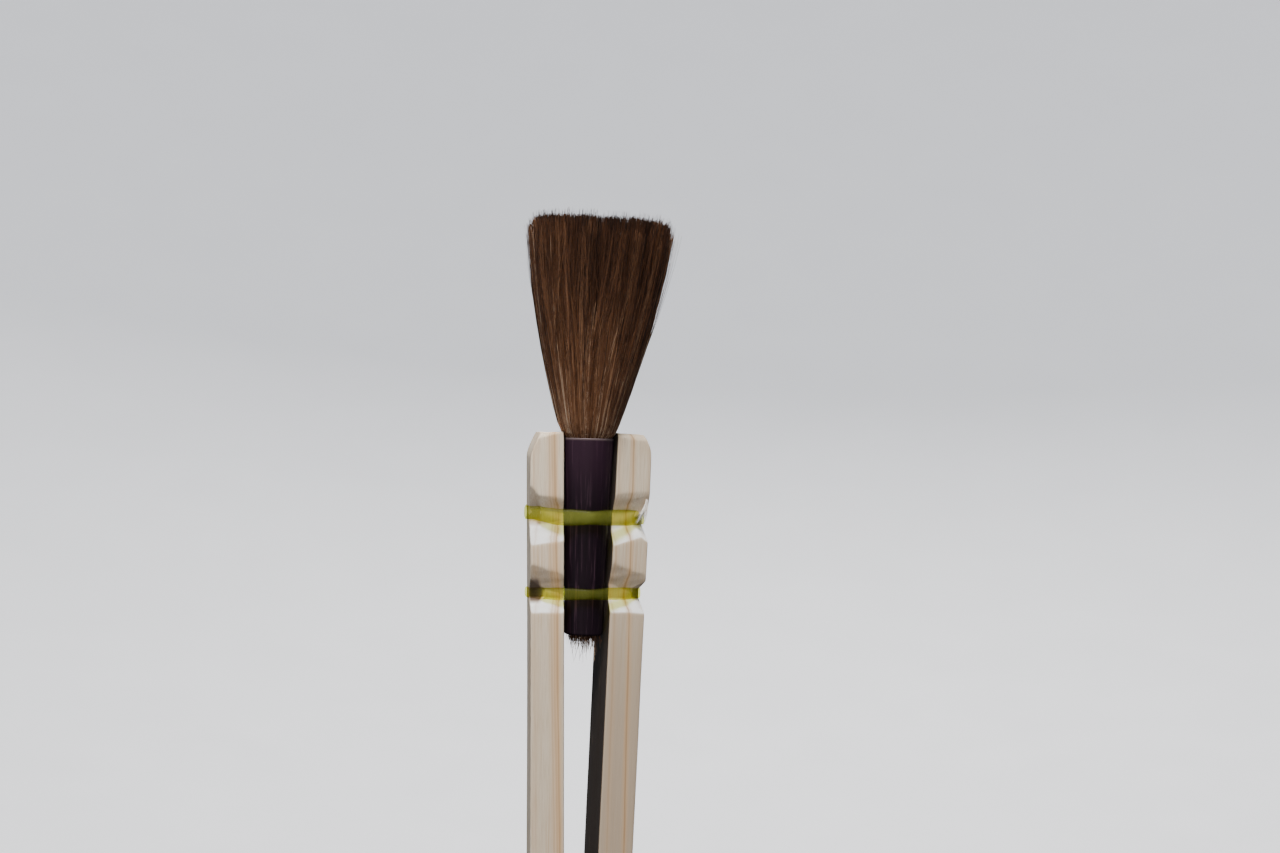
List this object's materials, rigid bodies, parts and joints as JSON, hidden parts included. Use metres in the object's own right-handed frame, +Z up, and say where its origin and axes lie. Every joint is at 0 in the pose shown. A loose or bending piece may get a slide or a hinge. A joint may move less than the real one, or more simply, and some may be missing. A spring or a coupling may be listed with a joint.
{
  "type": "calligraphy brush",
  "caption": "Hand-made brush: a flat-cut tuft of brown hair in a dark sleeve, clamped between two notched square wooden sticks by rubber bands.",
  "frame": {"origin": "on the brush's axis, level with the sawn butt ends of the two sticks, where the brush is held", "axes": "+Z up along the brush towards the hair, +X from the left stick to the right stick, +Y from the brush's front to its back"},
  "size_m": [0.0214, 0.0214, 0.1588],
  "materials": {
    "pale_wood": "split and whittled, unfinished",
    "rubber_band": "translucent yellow, satin",
    "sleeve": "dark aubergine, slight sheen",
    "root_hair": "cut animal hair",
    "binding_thread": "waxed thread",
    "coat_hair": "brown animal hair",
    "core_hair": "lighter brown animal hair"
  },
  "bodies": {
    "left_stick": {"left_stick": "pale_wood", "upper_band": "rubber_band", "lower_band": "rubber_band", "tail_band": "rubber_band"},
    "right_stick": {"right_stick": "pale_wood"},
    "head": {"sleeve": "sleeve", "root_hair": "root_hair", "binding_thread": "binding_thread"},
    "tuft": {"coat_hair": "coat_hair", "core_hair": "core_hair"}
  },
  "joints": [
    {"name": "stick_spread", "type": "hinge", "parent": "left_stick", "child": "right_stick", "pos_m": [-0.00038, 0.0029, 0], "axis": [0, 1, 0], "range_deg": [0, 4], "stiffness_Nm_per_rad": 1, "springref_deg": -5.73, "deforming": ["upper_band", "lower_band", "tail_band"]},
    {"name": "head_slide", "type": "slide", "parent": "left_stick", "child": "head", "axis": [0, 0, 1], "range_m": [0, 0.03]},
    {"name": "tuft_bend", "type": "hinge", "parent": "head", "child": "tuft", "pos_m": [0, 0, 0.1272], "axis": [1, 0, 0], "range_deg": [-25, 25], "stiffness_Nm_per_rad": 0.03}
  ]
}
